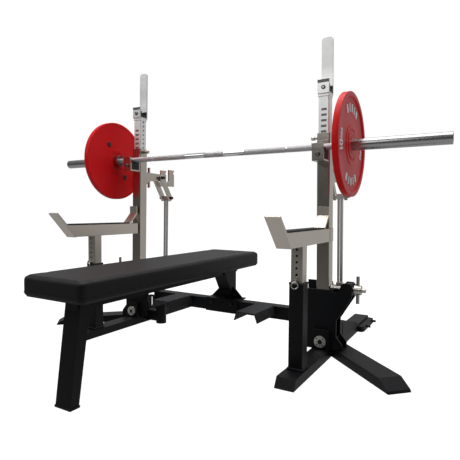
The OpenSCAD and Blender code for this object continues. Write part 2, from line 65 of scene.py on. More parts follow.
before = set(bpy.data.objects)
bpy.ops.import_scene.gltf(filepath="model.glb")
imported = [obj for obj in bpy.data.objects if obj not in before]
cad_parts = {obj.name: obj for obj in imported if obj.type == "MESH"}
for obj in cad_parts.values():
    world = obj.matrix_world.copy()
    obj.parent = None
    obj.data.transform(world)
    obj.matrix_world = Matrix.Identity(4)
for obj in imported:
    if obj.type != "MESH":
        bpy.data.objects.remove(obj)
CAD_LOW, CAD_HIGH = (v.copy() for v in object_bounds())
SIDES = (("left", -1), ("right", 1))
PAD_LOW, PAD_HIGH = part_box("bench_pad")
BOARD_LOW, BOARD_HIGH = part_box("bench_board")
DISC_LOW, DISC_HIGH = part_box("weight_plate_right")
SHAFT_LOW, SHAFT_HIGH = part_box("bar_shaft")
BAR_Y = (SHAFT_LOW.y + SHAFT_HIGH.y) / 2
BAR_Z = (SHAFT_LOW.z + SHAFT_HIGH.z) / 2
DISC_RADIUS = (DISC_HIGH.z - DISC_LOW.z) / 2

# Cushion
PAD_INSET = 0.001        # start of the cover inside the pad's box
TOP_ROUND = 0.012
BOTTOM_ROUND = 0.008
STAPLED_RISE = 0.03      # height over which the stapled cover comes free
WELT_PROUD = 0.0002
WELT_HEIGHT = 0.013
FILL_STEPS = 20

# Plates
HUB_RADIUS = 0.0387
MARK_RADIUS = 0.158
MARK_LIFT = 0.003
PLUG_ANGLES = (125, 305)
PLUG_PITCH = 0.112       # distance of the plugs from the axle
PLUG_RADIUS = 0.0165
SLOT_HALF = 0.0022

# Etched bars on the posts
ETCH_START = 1.036
ETCH_PITCH = 0.0252
ETCH_HALF = 0.0125

# Bolts
PIVOT_X = 0.578
PIVOT_Z = 0.076
CUP_SCREW_Z = 0.930
HOOK_SCREW_Z = 1.241
SCREW_RADIUS = 0.0095
SCREW_HEIGHT = 0.0055

# Weld beads
BEAM_EDGE = 0.618
BEAM_WELD_Z = 0.0405
BEAM_WELD_Y = (0.14, 0.52)
CROSS_WELD_X = (0.416, 0.472)

# Camera
CAMERA_SPOT = (1.2061, BAR_Y - 1.8990, 0.6744)
CAMERA_ANGLES = (30.2779, 2.5511, 0.4285)    # turn, downward tilt and roll in degrees
CAMERA_FOCUS = 0.93879   # focal length over the frame's width


# ---- Settings ----
class CushionSettings(bpy.types.PropertyGroup):
    """Sizes of the bench cushion."""

    voxel: bpy.props.FloatProperty(
        name="Remesh size", description="Edge length of the cushion's mesh before it is filled",
        default=0.006, min=0.004, max=0.01, unit="LENGTH")
    swell: bpy.props.FloatProperty(
        name="Swell", description="How far the foam may push the cover out",
        default=0.004, min=0.0, max=0.012, unit="LENGTH")
    corner: bpy.props.FloatProperty(
        name="Corner radius", description="Radius of the cushion's upright corners",
        default=0.022, min=0.005, max=0.06, unit="LENGTH")
    welt: bpy.props.FloatProperty(
        name="Welt radius", description="Radius of the piped seam",
        default=0.0013, min=0.0005, max=0.004, unit="LENGTH")


class DiscSettings(bpy.types.PropertyGroup):
    """Sizes and colours of the weight plates."""

    rim: bpy.props.FloatProperty(
        name="Rim width", description="Width of the raised rim",
        default=0.020, min=0.01, max=0.04, unit="LENGTH")
    recess: bpy.props.FloatProperty(
        name="Recess", description="Depth of the dish inside the rim",
        default=0.008, min=0.002, max=0.012, unit="LENGTH")
    red: bpy.props.FloatVectorProperty(
        name="Enamel", description="Colour of the enamel",
        default=(0.74, 0.008, 0.012), min=0.0, max=1.0, subtype="COLOR")


class BarSettings(bpy.types.PropertyGroup):
    """Marks and grip pattern of the bar."""

    ring_mark: bpy.props.FloatProperty(
        name="Ring mark", description="Distance of the ring marks from the bar's middle",
        default=0.405, min=0.3, max=0.5, unit="LENGTH")
    centre_grip: bpy.props.FloatProperty(
        name="Centre grip", description="Half length of the knurling at the middle",
        default=0.060, min=0.0, max=0.1, unit="LENGTH")
    grip_start: bpy.props.FloatProperty(
        name="Grip start", description="Where the outer knurling starts",
        default=0.180, min=0.1, max=0.3, unit="LENGTH")


class FinishSettings(bpy.types.PropertyGroup):
    """Colours of the frame's finishes."""

    coat: bpy.props.FloatVectorProperty(
        name="Powder coat", description="Colour of the black powder coat",
        default=(0.0034, 0.0037, 0.0050), min=0.0, max=1.0, subtype="COLOR")
    steel: bpy.props.FloatVectorProperty(
        name="Brushed steel", description="Colour of the brushed stainless tubes and arms",
        default=(0.65, 0.595, 0.53), min=0.0, max=1.0, subtype="COLOR")
    bright: bpy.props.FloatVectorProperty(
        name="Bright steel", description="Colour of the bright posts and hooks",
        default=(0.70, 0.70, 0.695), min=0.0, max=1.0, subtype="COLOR")
    vinyl: bpy.props.FloatVectorProperty(
        name="Vinyl", description="Colour of the cushion's cover",
        default=(0.0052, 0.0052, 0.0056), min=0.0, max=1.0, subtype="COLOR")


class StageSettings(bpy.types.PropertyGroup):
    """Floor and light."""

    floor: bpy.props.FloatVectorProperty(
        name="Floor", description="Colour of the floor and the room",
        default=(1.0, 1.0, 1.0), min=0.0, max=1.0, subtype="COLOR")
    room: bpy.props.FloatProperty(
        name="Room light", description="Strength of the even light all round",
        default=0.5, min=0.0, max=3.0)


# ---- Node helpers ----
class Finish:
    """A material under construction, with short calls that add and link its nodes."""

    def __init__(self, name, **socket_shades):
        self.mat = bpy.data.materials.new(name)
        self.mat.use_nodes = True
        self.tree = self.mat.node_tree
        self.tree.nodes.clear()
        output = self.tree.nodes.new("ShaderNodeOutputMaterial")
        self.shader = self.tree.nodes.new("ShaderNodeBsdfPrincipled")
        self.tree.links.new(self.shader.outputs[0], output.inputs["Surface"])
        self.place = self.tree.nodes.new("ShaderNodeTexCoord").outputs["Object"]
        for key, value in socket_shades.items():
            self.put(self.shader.inputs[key.replace("_", " ")], value)

    def put(self, socket, value):
        if isinstance(value, bpy.types.NodeSocket):
            self.tree.links.new(value, socket)
        elif hasattr(value, "__len__") and len(value) == 3 and socket.type == "RGBA":
            socket.default_value = (*value, 1.0)
        else:
            socket.default_value = value

    def set(self, name, value):
        self.put(self.shader.inputs[name], value)

    def node(self, kind, inputs=None, **attrs):
        made = self.tree.nodes.new("ShaderNode" + kind)
        for key, value in attrs.items():
            setattr(made, key, value)
        for key, value in (inputs or {}).items():
            self.put(made.inputs[key], value)
        return made

    def math(self, operation, a, b=0.0, c=0.0):
        return self.node("Math", {0: a, 1: b, 2: c}, operation=operation).outputs[0]

    def stretched(self, scale):
        return self.node("Mapping", {"Vector": self.place, "Scale": scale}).outputs[0]

    def noise(self, scale, detail=2.0, vector=None, rough=0.5):
        return self.node("TexNoise", {
            "Vector": vector or self.place, "Scale": scale, "Detail": detail,
            "Roughness": rough}).outputs["Fac"]

    def remap(self, value, low, high, start=0.0, end=1.0):
        return self.node("MapRange", {
            "Value": value, "From Min": start, "From Max": end, "To Min": low,
            "To Max": high}).outputs["Result"]

    def blend(self, fac, first, second):
        made = self.node("Mix", data_type="RGBA")
        self.put(made.inputs["Factor"], fac)
        self.put(made.inputs[6], first)
        self.put(made.inputs[7], second)
        return made.outputs[2]

    def between(self, value, low, high):
        above = self.math("GREATER_THAN", value, low)
        return self.math("MULTIPLY", above, self.math("LESS_THAN", value, high))

    def axis(self, name):
        return self.node("SeparateXYZ", {"Vector": self.place}).outputs[name]

    def rounded(self, radius):
        return self.node("Bevel", {"Radius": radius}, samples=4).outputs[0]

    def bump(self, height, distance, strength=1.0, normal=None):
        inputs = {"Height": height, "Distance": distance, "Strength": strength}
        if normal is not None:
            inputs["Normal"] = normal
        self.set("Normal", self.node("Bump", inputs).outputs[0])


def tint(colour, factor):
    return tuple(min(1.0, c * factor) for c in colour)


def powder_coat(colour):
    f = Finish("powder_coat")
    cloud = f.noise(3.0, 3.0)
    f.set("Base Color", f.blend(cloud, tint(colour, 0.8), tint(colour, 1.5)))
    f.set("Roughness", f.remap(f.noise(60.0, 4.0), 0.42, 0.56))
    f.bump(f.noise(850.0, 2.0), 0.0003, 0.5, f.rounded(0.0022))
    f.set("Specular IOR Level", 0.2)
    return f.mat


def grip_coat(colour):
    f = Finish("grip_coat")
    grit = f.node("TexVoronoi", {"Vector": f.place, "Scale": 420.0}).outputs["Distance"]
    f.set("Base Color", f.blend(grit, tint(colour, 3.6), tint(colour, 1.2)))
    f.set("Roughness", f.remap(grit, 0.55, 0.85))
    f.bump(grit, 0.0012, 0.9, f.rounded(0.0015))
    return f.mat


def brushed(name, colour, along, rough):
    """Steel that is brushed along one axis."""
    f = Finish(name, Metallic=1.0)
    scale = {"X": (14.0, 900.0, 900.0), "Y": (900.0, 14.0, 900.0), "Z": (900.0, 900.0, 14.0)}
    lines = f.noise(1.0, 3.0, f.stretched(scale[along]), 0.6)
    cloud = f.noise(5.0, 4.0)
    shade = f.blend(lines, tint(colour, 0.90), tint(colour, 1.08))
    f.set("Base Color", f.blend(f.remap(cloud, 0.0, 0.35), shade, tint(colour, 0.86)))
    f.set("Roughness", f.math(
        "ADD", f.remap(lines, rough[0], rough[1]), f.remap(cloud, -0.05, 0.05)))
    f.bump(lines, 0.00012, 0.35, f.rounded(0.0014))
    return f.mat


def hook_steel(colour):
    """Bright steel, polished low down and brushed where bars scrape the tall guard."""
    f = Finish("hook_steel", Metallic=1.0)
    lines = f.noise(1.0, 3.0, f.stretched((700.0, 700.0, 20.0)), 0.6)
    scuffs = f.noise(1.0, 5.0, f.stretched((18.0, 60.0, 160.0)), 0.65)
    height = f.remap(f.axis("Z"), 0.0, 1.0, 1.30, 1.36)
    low = f.remap(lines, 0.22, 0.32)
    high = f.remap(f.math("ADD", lines, scuffs), 0.26, 0.52, 0.4, 1.6)
    mixed = f.math("ADD", low, f.math("MULTIPLY", height, f.math("SUBTRACT", high, low)))
    f.set("Roughness", mixed)
    f.set("Base Color", f.blend(scuffs, tint(colour, 0.92), tint(colour, 1.06)))
    f.bump(f.math("ADD", lines, scuffs), 0.0001, 0.4, f.rounded(0.0012))
    return f.mat


def etched_post(colour):
    """Bright post with a column of plain etched bars on its front."""
    f = Finish("brushed_post", Metallic=1.0)
    lines = f.noise(1.0, 3.0, f.stretched((900.0, 900.0, 14.0)), 0.6)
    low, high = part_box("inner_post_right")
    across = f.math("SUBTRACT", f.math("ABSOLUTE", f.axis("X")), (low.x + high.x) / 2)
    column = f.math("LESS_THAN", f.math("ABSOLUTE", across), ETCH_HALF)
    run = f.math("DIVIDE", f.math("SUBTRACT", f.axis("Z"), ETCH_START), ETCH_PITCH)
    row = f.math("MULTIPLY", f.between(run, 0.0, 5.0), f.math("LESS_THAN", f.math(
        "FRACT", run), 0.42))
    facing = f.node("SeparateXYZ", {"Vector": f.node("NewGeometry").outputs["Normal"]})
    front = f.math("LESS_THAN", facing.outputs["Y"], -0.9)
    etched = f.math("MULTIPLY", f.math("MULTIPLY", column, row), front)
    shade = f.blend(lines, tint(colour, 0.93), tint(colour, 1.0))
    f.set("Base Color", f.blend(etched, shade, tint(colour, 0.24)))
    f.set("Roughness", f.math("ADD", f.remap(lines, 0.36, 0.5), f.math(
        "MULTIPLY", etched, 0.2)))
    f.bump(lines, 0.00012, 0.35, f.rounded(0.0014))
    return f.mat


def chrome(name, colour, rough=0.09):
    f = Finish(name, Metallic=1.0)
    turned = f.noise(1.0, 3.0, f.stretched((600.0, 8.0, 8.0)), 0.6)
    f.set("Base Color", f.blend(turned, tint(colour, 0.94), tint(colour, 1.04)))
    f.set("Roughness", f.remap(turned, rough * 0.7, rough * 1.5))
    f.bump(turned, 0.00005, 0.3, f.rounded(0.001))
    return f.mat


def knurled(settings):
    """Chrome shaft with diamond knurling between its smooth bands."""
    f = Finish("knurled_chrome", Metallic=1.0)
    x = f.math("ABSOLUTE", f.axis("X"))
    y = f.math("SUBTRACT", f.axis("Y"), BAR_Y)
    z = f.math("SUBTRACT", f.axis("Z"), BAR_Z)
    turn = f.math("MULTIPLY", f.math("ARCTAN2", y, z), 30.0)
    run = f.math("MULTIPLY", f.axis("X"), 2100.0)
    first = f.math("ABSOLUTE", f.math("SINE", f.math("ADD", turn, run)))
    second = f.math("ABSOLUTE", f.math("SINE", f.math("SUBTRACT", turn, run)))
    diamonds = f.math("MULTIPLY", first, second)
    outer = f.between(x, settings.grip_start, SHAFT_HIGH.x - 0.43)
    band = f.between(x, settings.ring_mark - 0.003, settings.ring_mark + 0.003)
    outer = f.math("MULTIPLY", outer, f.math("SUBTRACT", 1.0, band))
    grip = f.math("MAXIMUM", outer, f.math("LESS_THAN", x, settings.centre_grip))
    f.set("Base Color", f.blend(grip, (0.82, 0.82, 0.83), (0.66, 0.66, 0.67)))
    f.set("Roughness", f.remap(grip, 0.10, 0.40))
    f.bump(f.math("MULTIPLY", diamonds, grip), 0.0006, 1.0)
    return f.mat


def rubber(name, colour, rough=0.62):
    f = Finish(name)
    f.set("Base Color", f.blend(f.noise(40.0, 3.0), tint(colour, 0.8), tint(colour, 1.35)))
    f.set("Roughness", f.remap(f.noise(150.0, 3.0), rough - 0.08, rough + 0.1))
    f.bump(f.noise(1100.0, 2.0), 0.0002, 0.5, f.rounded(0.0012))
    return f.mat


def ribbed_rubber(colour):
    f = Finish("ribbed_rubber")
    ribs = f.math("SINE", f.math("MULTIPLY", f.axis("X"), 1150.0))
    f.set("Base Color", f.blend(f.noise(30.0, 3.0), tint(colour, 0.8), tint(colour, 1.5)))
    f.set("Roughness", f.remap(f.noise(120.0), 0.6, 0.8))
    f.bump(ribs, 0.0006, 0.6, f.rounded(0.001))
    return f.mat


def vinyl(colour):
    """Grained upholstery vinyl with fine pebbling and a slight sheen."""
    f = Finish("grained_vinyl")
    wander = f.noise(240.0, 3.0)
    warped = f.node("MixRGB", {
        "Fac": 0.02, "Color1": f.place,
        "Color2": f.node("TexNoise", {"Vector": f.place, "Scale": 90.0}).outputs["Color"],
    }).outputs[0]
    cell = f.node("TexVoronoi", {"Vector": warped, "Scale": 520.0}, feature="DISTANCE_TO_EDGE")
    creases = f.remap(cell.outputs["Distance"], 0.0, 1.0, 0.0, 0.09)
    f.set("Base Color", f.blend(creases, tint(colour, 0.55), tint(colour, 1.12)))
    f.set("Roughness", f.math("ADD", f.remap(creases, 0.58, 0.44), f.remap(wander, -0.04, 0.04)))
    f.bump(f.math("ADD", creases, f.math("MULTIPLY", wander, 0.6)), 0.0003, 0.55)
    f.set("Specular IOR Level", 0.22)
    f.set("Sheen Weight", 0.01)
    f.set("Sheen Roughness", 0.4)
    return f.mat


def enamel(colour):
    f = Finish("red_enamel")
    cloud = f.noise(7.0, 3.0)
    plain = f.blend(cloud, tint(colour, 0.93), tint(colour, 1.05))
    # Painted reflection: a washed pink sheen painted on the outer flat faces, patchy with the
    # cloud
    facing = f.node("SeparateXYZ", {"Vector": f.node("NewGeometry").outputs["Normal"]})
    flat = f.math("GREATER_THAN", f.math("ABSOLUTE", facing.outputs["X"]), 0.97)
    middle = (DISC_LOW.x + DISC_HIGH.x) / 2
    outer = f.math("GREATER_THAN", f.math("ABSOLUTE", f.axis("X")), middle)
    painted_sheen = f.math("MULTIPLY", f.math("MULTIPLY", flat, outer), f.remap(cloud, 0.30, 0.46))
    f.set("Base Color", f.blend(painted_sheen, plain, (0.52, 0.16, 0.17)))
    f.set("Roughness", f.remap(f.noise(30.0, 4.0), 0.34, 0.46))
    f.bump(f.noise(220.0, 2.0), 0.00025, 0.35, f.rounded(0.0012))
    f.set("Specular IOR Level", 0.13)
    f.set("Coat Weight", 0.02)
    f.set("Coat Roughness", 0.2)
    return f.mat


def plain_paint(name, colour, rough):
    f = Finish(name)
    f.set("Base Color", f.blend(f.noise(25.0, 3.0), tint(colour, 0.9), tint(colour, 1.04)))
    f.set("Roughness", f.remap(f.noise(80.0, 3.0), rough - 0.06, rough + 0.08))
    f.bump(f.noise(500.0), 0.0002, 0.4)
    return f.mat


def weld_metal(colour):
    f = Finish("weld_bead")
    f.set("Base Color", f.blend(f.noise(90.0, 3.0), tint(colour, 1.0), tint(colour, 2.0)))
    f.set("Roughness", f.remap(f.noise(200.0), 0.36, 0.5))
    f.bump(f.noise(500.0, 2.0), 0.0003, 0.5)
    return f.mat


MATERIALS = {}


# ---- Modelling helpers ----
def only(*objects):
    if bpy.context.object and bpy.context.object.mode != "OBJECT":
        bpy.ops.object.mode_set(mode="OBJECT")
    bpy.ops.object.select_all(action="DESELECT")
    for obj in objects:
        obj.select_set(True)
    bpy.context.view_layer.objects.active = objects[0]


def clear_selection():
    if bpy.context.object and bpy.context.object.mode != "OBJECT":
        bpy.ops.object.mode_set(mode="OBJECT")
    bpy.ops.object.select_all(action="DESELECT")


def settle(obj):
    only(obj)
    bpy.ops.object.transform_apply(location=True, rotation=True, scale=True)


def named(obj, name):
    obj.name = name
    obj.data.name = name
    return obj


def pick(obj, faces=None, edges=None, verts=None):
    """Selects parts of the mesh in edit mode by a test on each part."""
    only(obj)
    bpy.ops.object.mode_set(mode="EDIT")
    mode = "FACE" if faces else ("EDGE" if edges else "VERT")
    bpy.ops.mesh.select_mode(type=mode)
    bpy.ops.mesh.select_all(action="DESELECT")
    mesh = bmesh.from_edit_mesh(obj.data)
    group = mesh.faces if faces else (mesh.edges if edges else mesh.verts)
    test = faces or edges or verts
    for item in group:
        item.select_set(bool(test(item)))
    mesh.select_flush_mode()
    bmesh.update_edit_mesh(obj.data)


def leave():
    bpy.ops.object.mode_set(mode="OBJECT")


def apply_modifier(obj, kind, **values):
    only(obj)
    made = obj.modifiers.new(kind.title(), kind)
    for key, value in values.items():
        setattr(made, key, value)
    bpy.ops.object.modifier_apply(modifier=made.name)


def soften_edges(obj, width, segments=2, angle=30.0):
    apply_modifier(obj, "BEVEL", width=width, segments=segments, limit_method="ANGLE",
                   angle_limit=math.radians(angle), use_clamp_overlap=True)


def smooth(obj, angle=35.0):
    only(obj)
    bpy.ops.object.shade_smooth_by_angle(angle=math.radians(angle))


def outward(obj):
    only(obj)
    bpy.ops.object.mode_set(mode="EDIT")
    bpy.ops.mesh.select_all(action="SELECT")
    bpy.ops.mesh.remove_doubles(threshold=0.00002)
    bpy.ops.mesh.normals_make_consistent(inside=False)
    leave()


def cast(obj, name, material, body, slot, *nodes):
    named(obj, name)
    obj.data.materials.clear()
    obj.data.materials.append(MATERIALS[material])
    settle(obj)
    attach(obj, body)
    if nodes:
        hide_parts(*nodes)
    return obj


def joined(objects):
    only(*objects)
    if len(objects) > 1:
        bpy.ops.object.join()
    return bpy.context.view_layer.objects.active


def rod(start, end, radius, sides=48):
    """A cylinder from one point to another."""
    start, end = Vector(start), Vector(end)
    clear_selection()
    bpy.ops.mesh.primitive_cylinder_add(
        vertices=sides, radius=radius, depth=(end - start).length,
        location=(start + end) / 2, rotation=(end - start).to_track_quat("Z", "Y").to_euler())
    settle(bpy.context.object)
    return bpy.context.object


def block(low, high):
    """A box between two corners."""
    low, high = Vector(low), Vector(high)
    clear_selection()
    bpy.ops.mesh.primitive_cube_add(size=1.0, location=(low + high) / 2)
    obj = bpy.context.object
    obj.scale = high - low
    settle(obj)
    return obj


def outline_loop(low, high, z, corner, radius):
    """A round-sectioned loop round a rounded rectangle, as a piped seam is."""
    clear_selection()
    bpy.ops.mesh.primitive_plane_add(
        size=1.0, location=((low.x + high.x) / 2, (low.y + high.y) / 2, z))
    obj = bpy.context.object
    obj.scale = (high.x - low.x, high.y - low.y, 1.0)
    settle(obj)
    pick(obj, verts=lambda v: True)
    bpy.ops.mesh.bevel(offset=corner, segments=8, affect="VERTICES")
    bpy.ops.mesh.select_all(action="SELECT")
    bpy.ops.mesh.delete(type="ONLY_FACE")
    leave()
    bpy.ops.object.convert(target="CURVE")
    obj = bpy.context.object
    obj.data.bevel_depth = radius
    obj.data.bevel_resolution = 3
    bpy.ops.object.convert(target="MESH")
    return bpy.context.object


# ---- Operators ----
class BENCH_OT_finishes(bpy.types.Operator):
    """Makes the finishes and puts them on the frame's own parts"""

    bl_idname = "bench_press.finishes"
    bl_label = "Finishes"

    def execute(self, context):
        finish = context.scene.bench_finish
        steel, bright, coat = tuple(finish.steel), tuple(finish.bright), tuple(finish.coat)
        MATERIALS.update({
            "coat": powder_coat(coat),
            "grip_coat": grip_coat(coat),
            "rubber": rubber("moulded_rubber", (0.010, 0.010, 0.0105)),
            "ribbed": ribbed_rubber((0.008, 0.008, 0.008)),
            "vinyl": vinyl(tuple(finish.vinyl)),
            "board": plain_paint("board_paint", (0.012, 0.012, 0.012), 0.6),
            "oxide": plain_paint("black_oxide", (0.012, 0.012, 0.013), 0.38),
            "gunmetal": chrome("gunmetal", (0.20, 0.20, 0.20), 0.3),
            "steel_z": brushed("brushed_upright", tint(steel, 0.86), "Z", (0.16, 0.27)),
            "steel_y": brushed("brushed_arm", tint(steel, 0.98), "Y", (0.30, 0.44)),
            "post": etched_post(tint(bright, 1.3)),
            "hook": hook_steel(tint(bright, 0.86)),
            "turned": chrome("turned_steel", (0.66, 0.64, 0.60), 0.22),
            "rod": chrome("drawn_rod", (0.86, 0.85, 0.83), 0.3),
            "chrome": chrome("sleeve_chrome", (0.43, 0.43, 0.435), 0.2),
            "shaft": knurled(context.scene.bench_bar),
            "enamel": enamel(tuple(context.scene.bench_disc.red)),
            "marks": plain_paint("white_marks", (0.90, 0.90, 0.90), 0.5),
            "weld": weld_metal(coat),
            "zinc": chrome("zinc_plate", (0.86, 0.83, 0.78), 0.44),
        })
        table = (
            (("base_beam", "outer_foot", "rear_foot", "housing", "horn_nuts", "cross_member",
              "safety_sleeve", "bench_frame", "bench_rear_leg"), "coat"),
            (("spotter_step",), "grip_coat"),
            (("sleeve_bushes", "bench_cup_liner", "squat_hook_liner",
              "lever_caps"), "rubber"),
            (("arm_strip",), "ribbed"),
            (("bench_board",), "board"),
            (("saddle_bolts",), "oxide"),
            (("outer_tube", "lift_lever", "bench_cup"), "steel_z"),
            (("spotter_arm",), "steel_y"),
            (("inner_post",), "post"),
            (("squat_hook",), "hook"),
            (("height_pin", "pin_knob", "safety_pin", "screw_pad", "tilt_screw"), "turned"),
            (("pivot_bolts",), "zinc"),
            (("lift_rod",), "rod"),
            (("bar_sleeve", "sleeve_cap"), "chrome"),
            (("bar_shaft",), "shaft"),
            (("plate_hub", "weight_plate"), "enamel"),
            (("bench_pad",), "vinyl"),
        )
        for name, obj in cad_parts.items():
            key = self.finish_of(name, table)
            if not obj.material_slots:
                obj.data.materials.append(MATERIALS[key])
            for held in obj.material_slots:
                held.material = MATERIALS[key]
        return {"FINISHED"}

    def finish_of(self, name, table):
        """The finish of the longest start of a name that the table holds."""
        fits = [(len(start), key) for starts, key in table for start in starts
                if name.startswith(start)]
        if not fits:
            raise RuntimeError("no finish for " + name)
        return max(fits)[1]


class BENCH_OT_cushion(bpy.types.Operator):
    """Makes the cushion, filled by pressure, with its piped seam"""

    bl_idname = "bench_press.cushion"
    bl_label = "Cushion"

    def execute(self, context):
        settings = context.scene.bench_cushion
        swell, corner = settings.swell, settings.corner
        low = Vector((PAD_LOW.x + PAD_INSET, PAD_LOW.y + PAD_INSET, BOARD_LOW.z + 0.0025))
        high = Vector((PAD_HIGH.x - PAD_INSET, PAD_HIGH.y - PAD_INSET, PAD_HIGH.z - swell * 0.6))
        pad = block(low, high)
        pick(pad, edges=lambda e: abs(e.verts[0].co.z - e.verts[1].co.z) > 0.01)
        bpy.ops.mesh.bevel(offset=corner, segments=6, affect="EDGES")
        leave()
        for level, size, steps in ((high.z, TOP_ROUND, 5), (low.z, BOTTOM_ROUND, 4)):
            pick(pad, edges=lambda e, at=level: all(
                abs(v.co.z - at) < 1e-5 for v in e.verts) and any(
                abs(f.normal.z) < 0.5 for f in e.link_faces))
            bpy.ops.mesh.bevel(offset=size, segments=steps, affect="EDGES")
            leave()
        apply_modifier(pad, "REMESH", mode="VOXEL", voxel_size=settings.voxel)
        start = [(v.co.copy(), v.normal.copy()) for v in pad.data.vertices]
        self.fill(context, pad)
        for vertex, (before, normal) in zip(pad.data.vertices, start):
            # The foam pushes outwards only, and hardly at all where the cover is stapled
            moved = vertex.co - before
            out = max(0.0, moved.dot(normal))
            hold = min(1.0, max(0.0, (before.z - BOARD_HIGH.z) / STAPLED_RISE))
            vertex.co = before + normal * (min(out, swell) * hold)
        apply_modifier(pad, "SUBSURF", levels=1, render_levels=1)
        smooth(pad, 60.0)
        cast(pad, "cushion", "vinyl", "frame", "black_vinyl", "bench_pad")
        proud = Vector((WELT_PROUD, WELT_PROUD, 0))
        seam = outline_loop(low - proud, high + proud, low.z + WELT_HEIGHT, corner, settings.welt)
        smooth(seam, 60.0)
        cast(seam, "cushion_welt", "vinyl", "frame", "black_vinyl")
        seam.parent = pad
        return {"FINISHED"}

    def fill(self, context, pad):
        only(pad)
        cloth = pad.modifiers.new("Cloth", "CLOTH")
        cloth.settings.use_pressure = True
        cloth.settings.uniform_pressure_force = 4.0
        cloth.settings.quality = 5
        cloth.settings.mass = 0.3
        cloth.settings.effector_weights.gravity = 0.0
        cloth.point_cache.frame_start = 1
        cloth.point_cache.frame_end = FILL_STEPS
        for step in range(1, FILL_STEPS + 1):
            context.scene.frame_set(step)
        bpy.ops.object.modifier_apply(modifier=cloth.name)
        context.scene.frame_set(1)


class BENCH_OT_discs(bpy.types.Operator):
    """Makes the red plates with their rims, raised numerals, bars and plugs"""

    bl_idname = "bench_press.discs"
    bl_label = "Plates"

    def execute(self, context):
        settings = context.scene.bench_disc
        for side, sign in SIDES:
            low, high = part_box("weight_plate_" + side)
            inner = low.x if sign > 0 else high.x
            outer = high.x if sign > 0 else low.x
            disc = self.disc(settings, sign, inner, outer)
            cast(disc, "disc_" + side, "enamel", "weight_" + side, "red_paint",
                 "weight_plate_" + side)
            face = outer - sign * settings.recess
            marks = self.marks(sign, face)
            cast(marks, "disc_marks_" + side, "marks", "weight_" + side, "red_paint")
            plugs = self.plugs(sign, inner)
            cast(plugs, "disc_plugs_" + side, "oxide", "weight_" + side, "black_rubber")
        return {"FINISHED"}

    def disc(self, settings, sign, inner, outer):
        clear_selection()
        bpy.ops.mesh.primitive_cylinder_add(
            vertices=128, radius=DISC_RADIUS, depth=abs(outer - inner),
            location=((inner + outer) / 2, BAR_Y, BAR_Z), rotation=(0, math.pi / 2, 0))
        disc = bpy.context.object
        settle(disc)
        hub = HUB_RADIUS
        rim, recess = settings.rim, settings.recess
        dish = DISC_RADIUS - rim - 0.005
        steps = [(rim, 0.0), (0.005, -recess), (dish - 0.088, 0.0), (0.004, 0.0035),
                 (0.014, 0.0), (0.004, -0.0035), (0.004, 0.0), (0.003, recess - 0.002),
                 (0.059 - hub, 0.0)]
        pick(disc, faces=lambda f: f.normal.x * sign > 0.9)
        for thick, deep in steps:
            bpy.ops.mesh.inset(thickness=thick, depth=0.0)
            if deep:
                bpy.ops.transform.translate(value=(sign * deep, 0, 0))
        leave()
        pick(disc, faces=lambda f: f.normal.x * sign < -0.9)
        for thick, deep in ((0.012, 0.0), (0.002, -0.001), (DISC_RADIUS - 0.014 - 0.070, 0.0),
                            (0.002, 0.001), (0.068 - hub, 0.0)):
            bpy.ops.mesh.inset(thickness=thick, depth=0.0)
            if deep:
                bpy.ops.transform.translate(value=(-sign * deep, 0, 0))
        leave()
        pick(disc, faces=lambda f: abs(f.normal.x) > 0.9 and len(f.verts) > 20)
        bpy.ops.mesh.bridge_edge_loops()
        leave()
        outward(disc)
        soften_edges(disc, 0.0012, 2, 20.0)
        smooth(disc, 30.0)
        return disc

    def marks(self, sign, face):
        parts = []
        radius, lift = MARK_RADIUS, MARK_LIFT
        for middle in (90, 270):
            # Bars in a row along the rim
            for step in range(5):
                angle = middle + (step - 2) * 13.5
                parts.append(self.bar(sign, face, radius, angle, lift, step))
        for middle in (0, 180):
            for char, offset, size in (("1", 12.0, 0.056), ("0", 3.5, 0.056), ("K", -6.5, 0.032),
                                       ("G", -14.0, 0.032)):
                angle = middle + sign * offset
                parts.append(self.letter(sign, face, radius, angle, lift, char, size))
        return joined(parts)

    def basis(self, sign, face, radius, angle):
        """Place on the dish: local x runs round the plate, y outwards and z off the face."""
        turn = math.radians(angle)
        radial = Vector((0, math.cos(turn), math.sin(turn)))
        normal = Vector((sign, 0, 0))
        along = radial.cross(normal)
        spot = Vector((face, BAR_Y, BAR_Z)) + radial * radius
        return Matrix((
            (along.x, radial.x, normal.x, spot.x), (along.y, radial.y, normal.y, spot.y),
            (along.z, radial.z, normal.z, spot.z), (0, 0, 0, 1)))

    def letter(self, sign, face, radius, angle, lift, char, size):
        clear_selection()
        bpy.ops.object.text_add()
        obj = bpy.context.object
        obj.data.body = char
        obj.data.size = size
        obj.data.offset = size * 0.03
        obj.data.extrude = lift
        obj.data.align_x = "CENTER"
        obj.data.align_y = "CENTER"
        bpy.ops.object.convert(target="MESH")
        obj = bpy.context.object
        obj.matrix_world = self.basis(sign, face, radius, angle)
        settle(obj)
        return obj

    def bar(self, sign, face, radius, angle, lift, step):
        clear_selection()
        bpy.ops.mesh.primitive_cube_add(size=1.0)
        obj = bpy.context.object
        obj.matrix_world = self.basis(sign, face, radius, angle) @ Matrix.Diagonal(
            (0.012 if step % 2 else 0.017, 0.034, lift * 2, 1.0))
        settle(obj)
        soften_edges(obj, 0.0012, 2, 60.0)
        return obj

    def plugs(self, sign, inner):
        parts = []
        for degrees in PLUG_ANGLES:
            turn = math.radians(degrees)
            spot = Vector((inner, BAR_Y + PLUG_PITCH * math.cos(turn),
                           BAR_Z + PLUG_PITCH * math.sin(turn)))
            plug = rod(spot + Vector((sign * 0.0006, 0, 0)), spot + Vector((sign * 0.005, 0, 0)),
                       PLUG_RADIUS, 48)
            pick(plug, faces=lambda f: f.normal.x * sign < -0.9)
            bpy.ops.mesh.inset(thickness=0.002, depth=0.0)
            bpy.ops.transform.translate(value=(-sign * 0.0012, 0, 0))
            bpy.ops.mesh.inset(thickness=0.002, depth=0.0)
            leave()
